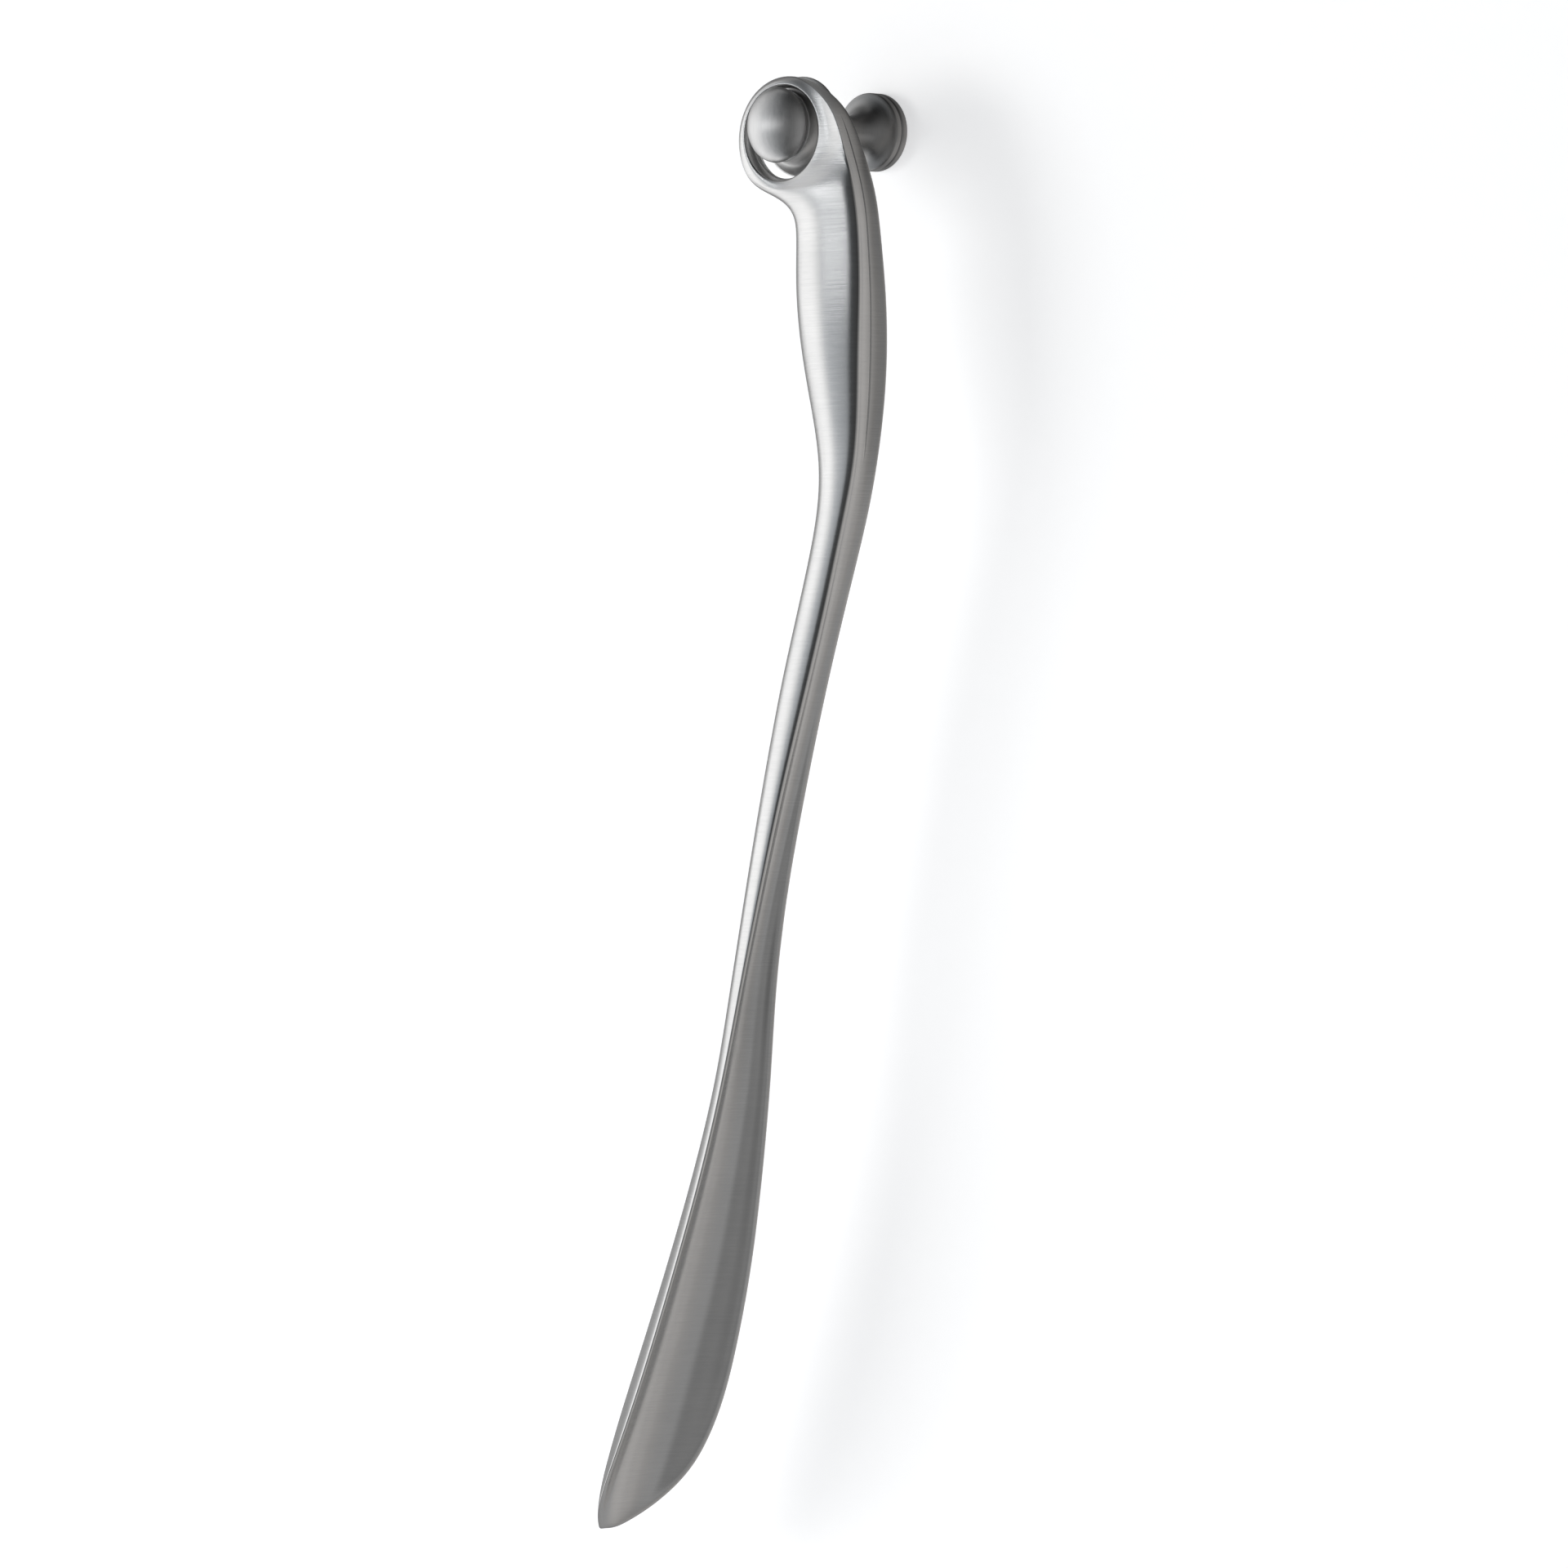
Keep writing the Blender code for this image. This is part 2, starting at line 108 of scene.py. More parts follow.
# Spokes round the eye, anticlockwise: angle, radius and half thickness of the eye's edge, the band's middle
# and its outline, and how far the outline's middle stands proud of its edges
SPOKES = (
    (225, 4.3, (21.5, 4.5), (25.8, 2.9), 0.9),
    (255, 4.5, (20.8, 4.8), (22.6, 4.9), 0),
    (285, 4.7, (20.8, 5.2), (22.7, 5.5), 0),
    (315, 4.8, (21.4, 5.5), (23.8, 5.8), 0),
    (345, 4.6, (26.2, 4.2), (35.0, 5.8), -0.8),
    (15, 4.3, (23.0, 3.9), (28.7, 4.8), -0.6),
    (45, 4.0, (21.2, 3.6), (23.7, 3.4), -0.2),
    (75, 3.9, (20.9, 3.8), (22.7, 2.2), 0.4),
    (105, 3.8, (20.7, 3.8), (22.3, 2.3), 0.7),
    (135, 3.8, (20.8, 3.9), (22.5, 2.6), 0.9),
    (165, 3.9, (21.0, 4.0), (23.2, 2.8), 0.9),
    (195, 4.1, (21.2, 4.2), (24.1, 2.9), 0.9),
)
HANDLE_SPOKES = (1, 2, 3)
EYE_WALL = (0.45, 0.62)
RIM_CREASE, BLADE_CREASE, EYE_CREASE = 0.85, 0.35, 0.3
BLADE_TOP, HANDLE_FOOT = -330.0, -200.0

# The casting's parting line, along the middle of the handle's hollow side
SEAM_TOP, SEAM_FOOT, SEAM_DEPTH = 4.0, -130.0, 0.36

# View: the camera's azimuth, its distance, the width it takes in, and the point it looks at
CAMERA_AZIMUTH = 41.0
CAMERA_DISTANCE = 3.8
FRAME_WIDTH = 0.6047
SENSOR = 36.0
LOOK_AT = Vector((-0.0021, -0.0534, -0.2537))
FLOOR_Z = -0.80

# Light. The room is given by azimuth and by elevation, in degrees, as shares of its brightest part. The floor
# sends some light back up, on one side.
COOL, WARM = -0.045, 0.025
WALL_GLOW, FLOOR_GLOW = 0.57, 0.25
WALL_POWER = 27.0
KNOB_POWER = 0.023
KNOB_FACE = Vector((0, -0.062, 0))
ROOM_LIGHT = 1.45
ROOM_AROUND = (
    (-180, 0.28), (-150, 0.21), (-125, 0.24), (-105, 0.28), (-95, 0.42), (-84, 0.95), (-62, 1.0), (-56, 0.84),
    (-49, 0.43, COOL), (-33, 0.26, COOL), (-26, 0.06, COOL), (0, 0.04), (15, 0.10), (35, 0.19), (98, 0.165),
    (125, 0.175, WARM), (137, 0.26, WARM), (155, 0.38, WARM), (172, 0.36, WARM), (180, 0.28),
)
ROOM_ABOVE = (
    (-90, 0.3), (-60, 0.6), (-50, 0.85), (-38, 1.0), (8, 1.0), (18, 0.75), (32, 0.58), (50, 0.25), (90, 0.1),
)
BOUNCE = 0.6
BOUNCE_AROUND = ((-180, 0), (70, 0), (84, 1), (128, 1), (146, 0), (180, 0))
BOUNCE_BELOW = ((-90, 1), (-28, 1), (-12, 0), (90, 0))


# Meshes

def arc(centre, radii, start, end, steps):
    """Points of an elliptical arc in a (radius, out) profile, between two angles in degrees."""
    points = []
    for i in range(steps + 1):
        angle = math.radians(start + (end - start) * i / steps)
        points.append((centre[0] + radii[0] * math.cos(angle), centre[1] + radii[1] * math.sin(angle)))
    return points


def lathe(name, profile, x=0.0, steps=TURN_STEPS, closed=False, thread=None):
    """Turn a (radius, distance out from the wall) profile about an axis square to the wall.

    The profile runs from the front to the wall along its outer side. thread is (pitch, depth, start, end):
    between those distances the surface is cut by a helical groove.
    """
    bm = bmesh.new()
    rings = []
    for r, out in profile:
        if r < 1e-6:
            rings.append([bm.verts.new(Vector((x, -out, 0)) * MM)])
            continue
        ring = []
        for i in range(steps):
            turn = i / steps
            radius = r
            if thread and thread[2] >= out >= thread[3]:
                phase = (out / thread[0] + turn) % 1.0
                radius -= thread[1] * abs(2 * phase - 1) ** 1.5
            angle = 2 * math.pi * turn
            point = Vector((x + radius * math.sin(angle), -out, radius * math.cos(angle)))
            ring.append(bm.verts.new(point * MM))
        rings.append(ring)
    pairs = list(zip(rings, rings[1:]))
    if closed:
        pairs.append((rings[-1], rings[0]))
    for one, two in pairs:
        for i in range(steps):
            j = (i + 1) % steps
            if len(one) == 1:
                bm.faces.new((one[0], two[i], two[j]))
            elif len(two) == 1:
                bm.faces.new((one[i], two[0], one[j]))
            else:
                bm.faces.new((one[i], two[i], two[j], one[j]))
    bmesh.ops.recalc_face_normals(bm, faces=bm.faces)
    mesh = bpy.data.meshes.new(name)
    bm.to_mesh(mesh)
    bm.free()
    return finished(name, mesh)


def finished(name, mesh):
    """An object in the scene from a mesh, smooth except at its sharp edges."""
    mesh.shade_smooth()
    mesh.set_sharp_from_angle(angle=math.radians(32))
    obj = bpy.data.objects.new(name, mesh)
    bpy.context.scene.collection.objects.link(obj)
    return obj


def evaluated_mesh(obj):
    """The object's mesh with its modifiers applied, in world space. The object itself is removed."""
    graph = bpy.context.evaluated_depsgraph_get()
    mesh = bpy.data.meshes.new_from_object(obj.evaluated_get(graph))
    mesh.transform(obj.matrix_world)
    bpy.data.objects.remove(obj, do_unlink=True)
    return mesh


def cut(obj, tools):
    """Take tools away from obj, and remove them."""
    for tool in tools:
        mod = obj.modifiers.new(tool.name, "BOOLEAN")
        mod.operation = "DIFFERENCE"
        mod.solver = "EXACT"
        mod.object = tool
    bpy.context.view_layer.update()
    name = obj.name
    mesh = evaluated_mesh(obj)
    for tool in tools:
        bpy.data.objects.remove(tool, do_unlink=True)
    result = finished(name, mesh)
    result.name = name
    return result


def prism(radius, length, sides, at):
    """An upright regular prism, centred at a point in millimetres."""
    bm = bmesh.new()
    bmesh.ops.create_cone(bm, cap_ends=True, segments=sides, radius1=radius * MM, radius2=radius * MM,
                          depth=length * MM)
    mesh = bpy.data.meshes.new("cutter")
    bm.to_mesh(mesh)
    bm.free()
    mesh.transform(Matrix.Translation(Vector(at) * MM))
    obj = bpy.data.objects.new("cutter", mesh)
    bpy.context.scene.collection.objects.link(obj)
    return obj


def block(size, at, turn=0.0):
    """A cutter: a box centred at a point in millimetres, turned about the y axis."""
    bm = bmesh.new()
    bmesh.ops.create_cube(bm, size=1.0, matrix=Matrix.Diagonal(Vector((*size, 1 / MM)) * MM))
    mesh = bpy.data.meshes.new("cutter")
    bm.to_mesh(mesh)
    bm.free()
    mesh.transform(Matrix.Translation(Vector(at) * MM) @ Matrix.Rotation(math.radians(turn), 4, "Y"))
    obj = bpy.data.objects.new("cutter", mesh)
    bpy.context.scene.collection.objects.link(obj)
    return obj


# Hook

def make_plate():
    chamfer = 0.5
    plate = lathe("plate", [
        (0, BOSS_OUT), (BOSS_R - chamfer, BOSS_OUT), (BOSS_R, BOSS_OUT - chamfer), (BOSS_R, PLATE_OUT),
        *arc((PLATE_R - 0.9, PLATE_OUT - 0.9), (0.9, 0.9), 90, 0, 6),
        *arc((PLATE_R - 0.4, 0.4), (0.4, 0.4), 0, -90, 3), (0, 0)])
    seat = BOSS_OUT - 4 * GAP
    holes = []
    for x in (-SCREW_X, SCREW_X):
        holes.append(lathe("hole", [
            (0, BOSS_OUT + 1), (SCREW_HEAD_R + GAP, BOSS_OUT + 1), (SCREW_HEAD_R + GAP, seat),
            (SCREW_R + GAP, seat - (SCREW_HEAD_R - SCREW_R)), (SCREW_R + GAP, -1), (0, -1)], x=x, steps=48))
    return cut(plate, holes)


def make_base():
    bore, recess_r = STUD_R + GAP, BOSS_R + GAP
    rim_back = PLATE_OUT + GAP
    flare = arc((PLATE_R, BELL_FLARE_OUT), (PLATE_R - NECK_R, BELL_FLARE_OUT - BELL_RIM_OUT), 180, 262, 28)
    base = lathe("base", [
        (0, STUD_IN - GAP), (bore, STUD_IN - GAP), (bore, NECK_OUT), (NECK_R - 0.3, NECK_OUT),
        (NECK_R, NECK_OUT - 0.3), *flare, *arc((PLATE_R - 0.7, BELL_RIM_OUT - 0.75), (0.7, 0.7), 75, 0, 5),
        *arc((PLATE_R - 0.4, rim_back + 0.4), (0.4, 0.4), 0, -90, 4), (recess_r, rim_back),
        (recess_r, BOSS_OUT + GAP), (0, BOSS_OUT + GAP)])
    return cut(base, [prism(GRUB_R + GAP, 8, 48, (0, -GRUB_OUT, -PLATE_R + 1))])


def make_collar():
    bore, back = STUD_R + GAP, NECK_OUT + GAP
    flare = arc((DISC_R, SEAT_BACK), (DISC_R - SEAT_R, SEAT_BACK - DISC_OUT), 180, 262, 24)
    return lathe("collar", [
        (bore, SEAT_OUT), *arc((SEAT_R - 0.4, SEAT_OUT - 0.4), (0.4, 0.4), 90, 0, 4), *flare,
        *arc((DISC_R - 0.5, DISC_OUT - 0.55), (0.5, 0.5), 60, -90, 6), (bore, back)], closed=True)


def make_knob():
    bore, back = STUD_R + GAP, SEAT_OUT + GAP
    crown = arc((0, KNOB_RIM_OUT), (KNOB_R, KNOB_CROWN), 90, 0, 40)
    return lathe("knob", [
        *crown, (KNOB_R - 0.1, KNOB_RIM_OUT - 0.3), (KNOB_R - 2.6, back), (bore, back),
        (bore, STUD_OUT + GAP), (0, STUD_OUT + GAP)])


def make_stud():
    pitch, chamfer = 0.8, 0.4
    rows = round((STUD_OUT - STUD_IN) / pitch * 8)
    length = STUD_OUT - STUD_IN - 2 * chamfer
    wall = [(STUD_R, STUD_OUT - chamfer - length * i / rows) for i in range(rows + 1)]
    return lathe("stud", [
        (0, STUD_OUT), (STUD_R - chamfer, STUD_OUT), *wall, (STUD_R - chamfer, STUD_IN), (0, STUD_IN)],
        steps=32, thread=(pitch, 0.3, STUD_OUT - 1, STUD_IN + 1))


def make_wall_screw(side, x):
    head_out = BOSS_OUT - 2 * GAP
    neck_out = head_out - GAP - (SCREW_HEAD_R - SCREW_R)
    end = head_out - SCREW_LENGTH
    pitch = 1.6
    rows = round((neck_out - end - 3.5) / pitch * 10)
    shank = [(SCREW_R, neck_out - (neck_out - end - 3.5) * i / rows) for i in range(rows + 1)]
    screw = lathe("wall_screw_" + side + "_threaded", [
        (0, head_out), (SCREW_HEAD_R - 0.1, head_out), (SCREW_HEAD_R, head_out - 0.1),
        (SCREW_HEAD_R, head_out - GAP), *shank, (0.4, end + 0.3), (0, end)],
        x=x, steps=32, thread=(pitch, 0.5, -4, end + 3))
    slots = [block((3.6, 2.4, 0.8), (x, -head_out, 0), turn) for turn in (0, 90)]
    return cut(screw, slots)


def make_wall_plug(side, x):
    bore, start = SCREW_R + GAP, -0.5
    end = start - PLUG_LENGTH
    ribs = []
    count = 9
    for i in range(count):
        top = start - 3 - (PLUG_LENGTH - 6) * i / count
        ribs += [(PLUG_R, top), (PLUG_R - 0.35, top - 1.9), (PLUG_R, top - 2.0)]
    plug = lathe("wall_plug_" + side + "_ribbed", [
        (bore, start), (PLUG_R, start), *ribs, (PLUG_R, end + 1.5), (PLUG_R - 0.4, end), (bore, end)],
        x=x, closed=True, steps=48)
    slit = 0.6 * PLUG_LENGTH
    return cut(plug, [block((0.8, slit, 3 * PLUG_R), (x, -end - slit / 2 + 1, 0))])


def make_grub_screw():
    start, end = BOSS_R + GAP, PLATE_R - 0.5
    screw = prism(GRUB_R, end - start, 32, (0, -GRUB_OUT, -(start + end) / 2))
    screw.name = "set_screw"
    return cut(screw, [prism(0.55, 3, 6, (0, -GRUB_OUT, -end))])


# Shoehorn

def smooth_between(stations, height):
    """A station's values at any height, on a smooth curve through the stations."""
    last = len(stations) - 1
    i = 0
    while i < last - 1 and height < stations[i + 1][0]:
        i += 1
    here, there = stations[i], stations[i + 1]
    before, after = stations[max(i - 1, 0)], stations[min(i + 2, last)]
    span = there[0] - here[0]
    t = (height - here[0]) / span
    values = []
    for k in range(1, len(here)):
        slope_here = (there[k] - before[k]) / (there[0] - before[0]) * span
        slope_there = (after[k] - here[k]) / (after[0] - here[0]) * span
        values.append(
            (2 * t**3 - 3 * t**2 + 1) * here[k] + (t**3 - 2 * t**2 + t) * slope_here
            + (3 * t**2 - 2 * t**3) * there[k] + (t**3 - t**2) * slope_there)
    return values


def row_heights():
    """Heights of the rows: even steps down to the last stations, which are rows of their own."""
    blade_end = next(i for i, s in enumerate(STATIONS) if s[0] < EVEN_ROWS_FOOT)
    top, bottom = STATIONS[0][0], STATIONS[blade_end][0]
    count = round((top - bottom) / ROW_SPACING)
    heights = [top + (bottom - top) * i / count for i in range(count)]
    return heights + [s[0] for s in STATIONS[blade_end:]]


def handle_share(height):
    """1 on the handle and shaft, falling to 0 where the blade starts."""
    return min(1.0, max(0.0, (height - BLADE_TOP) / (HANDLE_FOOT - BLADE_TOP)))


def section(back, rim, width, sweep, hollow, wall, sag=0.0):
    """Half of a cross-section, from the back's middle to the rim and on to the hollow's middle."""
    chord = Vector((rim[0] - back[0], rim[1] - back[1]))
    down = Vector((chord[1], -chord[0])).normalized()

    def place(share, depth):
        bow = sag * 4 * share * (1 - share)
        x = back[0] + chord[0] * share + down[0] * bow
        z = back[1] + chord[1] * share + down[1] * bow
        return (x, -depth, z)

    sweep = math.radians(sweep)
    turn = RIM_TURN * handle_share(rim[1])
    points = []
    for share in OUTER_SHARES[:-1]:
        angle = sweep * share
        points.append(place((1 - math.cos(angle)) / (1 - math.cos(sweep)),
                            (width / 2 + turn) * math.sin(angle) / math.sin(sweep)))
    points.append(place(1, width / 2 - turn))
    inner_sweep = sweep * min(1.0, 0.5 + hollow / 12)
    inner_width = width / 2 - wall
    hollow_share = hollow / chord.length
    for i in range(STRIP_POINTS + 1):
        angle = inner_sweep * (1 - i / STRIP_POINTS)
        sunk = (math.cos(angle) - math.cos(inner_sweep)) / (1 - math.cos(inner_sweep))
        points.append(place(1 - hollow_share * sunk, inner_width * math.sin(angle) / math.sin(inner_sweep)))
    return points


def spoke(angle, edge_depth, middle, outline, proud, in_handle):
    """Half of the band's section at an angle round the eye, from its wall's middle to its outline's middle.

    A spoke in the handle stops at its outline's edge, where the handle's rows take over.
    """
    outward = Vector((math.cos(math.radians(angle)), math.sin(math.radians(angle))))

    def place(radius, depth):
        return (outward[0] * radius, -depth, outward[1] * radius - EYE_DROP)

    bulge = EYE_EDGE_R - EYE_MID_R
    points = [
        place(EYE_MID_R * CAGE_GROWTH, 0),
        place((EYE_EDGE_R - bulge * EYE_WALL[0]) * CAGE_GROWTH, edge_depth * EYE_WALL[1]),
        place(EYE_EDGE_R * CAGE_GROWTH, edge_depth),
        place(*middle),
        place(*outline),
    ]
    if in_handle:
        return points
    for i in range(1, STRIP_POINTS + 2):
        turn = math.radians(90) * i / (STRIP_POINTS + 1)
        points.append(place(outline[0] + proud * math.sin(turn), outline[1] * math.cos(turn)))
    return points


def rim_crease(height):
    """The rim line is crisp along the handle, and softer where it becomes the blade's rolled rim."""
    return BLADE_CREASE + (RIM_CREASE - BLADE_CREASE) * handle_share(height)


def shoehorn_cage():
    """The front half of the cage, open on the plane of symmetry, and the crease of some of its edges."""
    bm = bmesh.new()
    crease = bm.edges.layers.float.new("crease_edge")

    def verts(points):
        return [bm.verts.new(Vector(point) * MM) for point in points]

    def skin(one, two):
        """Faces between two lines of points."""
        for i in range(min(len(one), len(two)) - 1):
            bm.faces.new((one[i], one[i + 1], two[i + 1], two[i]))

    spokes = []
    for i, values in enumerate(SPOKES):
        spokes.append(verts(spoke(*values, in_handle=i in HANDLE_SPOKES)))
    for i, one in enumerate(spokes):
        skin(one, spokes[(i + 1) % len(spokes)])

    left, right = spokes[HANDLE_SPOKES[0] - 1], spokes[HANDLE_SPOKES[-1] + 1]
    edge = len(spokes[HANDLE_SPOKES[0]]) - 1
    first_row = left[:edge - 1:-1] + [spokes[i][edge] for i in HANDLE_SPOKES] + right[edge:]
    rows = [first_row]
    for back, rim, width, sag in FAN_ROWS:
        rows.append(verts(section(back, rim, width, FAN_SWEEP, FAN_HOLLOW, STATIONS[0][6], sag)))
    for height in row_heights():
        rim_x, back_x, width, sweep, hollow, wall = smooth_between(STATIONS, height)
        rows.append(verts(section((back_x, height), (rim_x, height), width, sweep, hollow, wall)))
    for one, two in zip(rows, rows[1:]):
        skin(one, two)
    bm.faces.new(rows[-1])

    rim = len(OUTER_SHARES) - 1
    for one, two in zip(rows, rows[1:]):
        bm.edges.get((one[rim], two[rim]))[crease] = rim_crease(two[rim].co.z / MM)
    right_side = range(HANDLE_SPOKES[-1] + 1, HANDLE_SPOKES[-1] + 4)
    for i in right_side:
        fade = 1 - (i - right_side[0]) / (2 * len(right_side))
        bm.edges.get((spokes[i][edge], spokes[i + 1][edge]))[crease] = RIM_CREASE * fade
    for i, one in enumerate(spokes):
        bm.edges.get((one[2], spokes[(i + 1) % len(spokes)][2]))[crease] = EYE_CREASE
    bmesh.ops.recalc_face_normals(bm, faces=bm.faces)
    return bm


def press_seam(mesh):
    """Sink the parting line into the middle of the handle's hollow side, fading out at both ends."""
    hollow_side = 0.5
    fade_length = 12.0
    for vertex in mesh.vertices:
        x, y, z = vertex.co / MM
        if abs(y) > 0.01 or vertex.normal.x < hollow_side or not SEAM_FOOT < z < SEAM_TOP:
            continue
        fade = min(1.0, (z - SEAM_FOOT) / fade_length, (SEAM_TOP - z) / fade_length)
        vertex.co -= vertex.normal * SEAM_DEPTH * fade * MM


def make_shoehorn():
    bm = shoehorn_cage()
    mesh = bpy.data.meshes.new("cage")
    bm.to_mesh(mesh)
    bm.free()
    cage = bpy.data.objects.new("cage", mesh)
    bpy.context.scene.collection.objects.link(cage)
    mirror = cage.modifiers.new("other_half", "MIRROR")
    mirror.use_axis = (False, True, False)
    mirror.merge_threshold = 0.00001
    smooth = cage.modifiers.new("smooth", "SUBSURF")
    smooth.levels = smooth.render_levels = SMOOTHING
    bpy.context.view_layer.update()
    mesh = evaluated_mesh(cage)
    press_seam(mesh)
    mesh.transform(Matrix.Translation((0, -MID_PLANE_OUT * MM, 0)))
    mesh.shade_smooth()
    obj = bpy.data.objects.new("shoehorn_casting", mesh)
    bpy.context.scene.collection.objects.link(obj)
    return obj


# Materials

class Nodes:
    """Short names for building a node tree."""

    def __init__(self, owner, place):
        owner.use_nodes = True
        self.tree = owner.node_tree
        self.place = self.add("ShaderNodeTexCoord").outputs[place]

    def add(self, kind, **values):
        node = self.tree.nodes.new(kind)
        for key, value in values.items():
            setattr(node, key, value)
        return node

    def link(self, source, target):
        self.tree.links.new(source, target)

    def math(self, operation, one, two):
        node = self.add("ShaderNodeMath", operation=operation)
        for socket, value in zip(node.inputs, (one, two)):
            if isinstance(value, (int, float)):
                socket.default_value = value
            else:
                self.link(value, socket)
        return node.outputs[0]

    def noise(self, scale, detail=3.0, stretch=(1, 1, 1), where=None, rough=0.55):
        """Noise with so many features a metre, stretched by a share along each axis."""
        mapping = self.add("ShaderNodeMapping")
        mapping.inputs["Scale"].default_value = stretch
        self.link(where or self.place, mapping.inputs["Vector"])
        noise = self.add("ShaderNodeTexNoise")
        noise.inputs["Scale"].default_value = scale
        noise.inputs["Detail"].default_value = detail
        noise.inputs["Roughness"].default_value = rough
        self.link(mapping.outputs[0], noise.inputs["Vector"])
        return noise.outputs["Fac"]

    def spread(self, value, low, high, start=0.3, end=0.7):
        """Map a noise to a range."""
        node = self.add("ShaderNodeMapRange")
        node.inputs["From Min"].default_value = start
        node.inputs["From Max"].default_value = end
        node.inputs["To Min"].default_value = low
        node.inputs["To Max"].default_value = high
        self.link(value, node.inputs["Value"])
        return node.outputs[0]

    def colours(self, value, *stops):
        """Map a value to colours, given as positions and colours in order."""
        node = self.add("ShaderNodeValToRGB")
        elements = node.color_ramp.elements
        for element, (position, colour) in zip((elements[0], elements[1]), (stops[0], stops[-1])):
            element.position = position
            element.color = (*colour, 1.0)
        for position, colour in stops[1:-1]:
            elements.new(position).color = (*colour, 1.0)
        self.link(value, node.inputs["Fac"])
        return node.outputs["Color"]

    def bump(self, height, strength, distance, under=None):
        node = self.add("ShaderNodeBump")
        node.inputs["Strength"].default_value = strength
        node.inputs["Distance"].default_value = distance
        self.link(height, node.inputs["Height"])
        if under:
            self.link(under, node.inputs["Normal"])
        return node.outputs["Normal"]


class Surface(Nodes):
    """A material's nodes."""

    def __init__(self, name):
        self.material = bpy.data.materials.new(name)
        super().__init__(self.material, "Object")
        self.shader = self.tree.nodes["Principled BSDF"]

    def metal(self, anisotropy, along, turn):
        """Bare metal whose reflections are drawn out along a direction round an axis, or across it."""
        self.shader.inputs["Metallic"].default_value = 1.0
        self.shader.inputs["Anisotropic"].default_value = anisotropy
        self.shader.inputs["Anisotropic Rotation"].default_value = turn
        tangent = self.add("ShaderNodeTangent", direction_type="RADIAL", axis=along)
        self.link(tangent.outputs[0], self.shader.inputs["Tangent"])


def grey(level, warm=0.0):
    return (level * (1 + warm), level, level * (1 - warm))


def brushed_casting():
    """Belt-brushed aluminium: fine lines across the length, broken by longer strokes and a cast mottle."""
    m = Surface("brushed_casting")
    m.metal(0.7, "Z", 0.25)
    lines = m.noise(1.0, detail=3, stretch=(90, 90, 2600))
    strokes = m.noise(1.0, detail=2, stretch=(24, 24, 900))
    mottle = m.noise(55, detail=5)
    tone = m.math("ADD", m.math("MULTIPLY", lines, 0.6), m.math("MULTIPLY", mottle, 0.4))
    m.link(m.colours(tone, (0.35, grey(0.60)), (0.65, grey(0.66, 0.004))), m.shader.inputs["Base Color"])
    gloss = m.math("ADD", m.math("MULTIPLY", lines, 0.5), m.math("MULTIPLY", strokes, 0.5))
    m.link(m.spread(gloss, 0.19, 0.26, 0.35, 0.65), m.shader.inputs["Roughness"])
    normal = m.bump(strokes, 0.06, 0.0004)
    m.link(m.bump(lines, 0.10, 0.0002, under=normal), m.shader.inputs["Normal"])
    return m.material


def turned_metal_painted_shade():
    """Lathe-turned aluminium: fine rings round the hook's axis, dulled by a light polish. Its base colour is
    painted shade: the same aluminium as the knob's, set darker.
    """
    m = Surface("turned_metal_painted_shade")
    m.metal(0.5, "Y", 0.25)
    apart = m.add("ShaderNodeSeparateXYZ")
    m.link(m.place, apart.inputs[0])
    radius = m.math("SQRT", m.math("ADD", m.math("POWER", apart.outputs["X"], 2),
                                   m.math("POWER", apart.outputs["Z"], 2)), 0)
    rings = m.add("ShaderNodeCombineXYZ")
    m.link(radius, rings.inputs["X"])
    m.link(apart.outputs["Y"], rings.inputs["Y"])
    turning = m.noise(1.0, detail=3, stretch=(2600, 2600, 1), where=rings.outputs[0])
    mottle = m.noise(120, detail=4)
    tone = m.math("ADD", m.math("MULTIPLY", turning, 0.5), m.math("MULTIPLY", mottle, 0.5))
    # painted shade: the base colour is set darker than the knob's aluminium, to stand for shade
    m.link(m.colours(tone, (0.35, grey(0.36)), (0.65, grey(0.42, 0.004))), m.shader.inputs["Base Color"])
    m.link(m.spread(turning, 0.30, 0.38), m.shader.inputs["Roughness"])
    m.link(m.bump(turning, 0.10, 0.0002), m.shader.inputs["Normal"])
    return m.material


def brushed_disc_painted_light():
    """The knob's aluminium, brushed straight up and down. Its base colour is painted light: the same
    aluminium as the turned parts, set lighter.
    """
    m = Surface("brushed_disc_painted_light")
    m.metal(0.6, "Z", 0.0)
    polish = m.noise(1.0, detail=3, stretch=(2200, 2200, 60))
    streaks = m.noise(1.0, detail=2, stretch=(700, 700, 16))
    mottle = m.noise(120, detail=4)
    tone = m.math("ADD", m.math("MULTIPLY", polish, 0.6), m.math("MULTIPLY", mottle, 0.4))
    # painted light: the base colour is set lighter than the turned aluminium, to stand for light
    m.link(m.colours(tone, (0.35, grey(0.66)), (0.65, grey(0.74, 0.004))), m.shader.inputs["Base Color"])
    gloss = m.math("ADD", m.math("MULTIPLY", polish, 0.5), m.math("MULTIPLY", streaks, 0.5))
    m.link(m.spread(gloss, 0.32, 0.39, 0.35, 0.65), m.shader.inputs["Roughness"])
    normal = m.bump(streaks, 0.08, 0.0003)
    m.link(m.bump(polish, 0.12, 0.0002, under=normal), m.shader.inputs["Normal"])
    return m.material


def plated_steel():
    m = Surface("zinc_plate")
    m.metal(0.0, "Y", 0.0)
    blotch = m.noise(900, detail=4)
    m.link(m.colours(blotch, (0.35, (0.44, 0.45, 0.46)), (0.65, (0.60, 0.59, 0.55))),
           m.shader.inputs["Base Color"])
    m.link(m.spread(blotch, 0.28, 0.45), m.shader.inputs["Roughness"])
    m.link(m.bump(m.noise(5000, detail=2), 0.2, 0.0001), m.shader.inputs["Normal"])
    return m.material


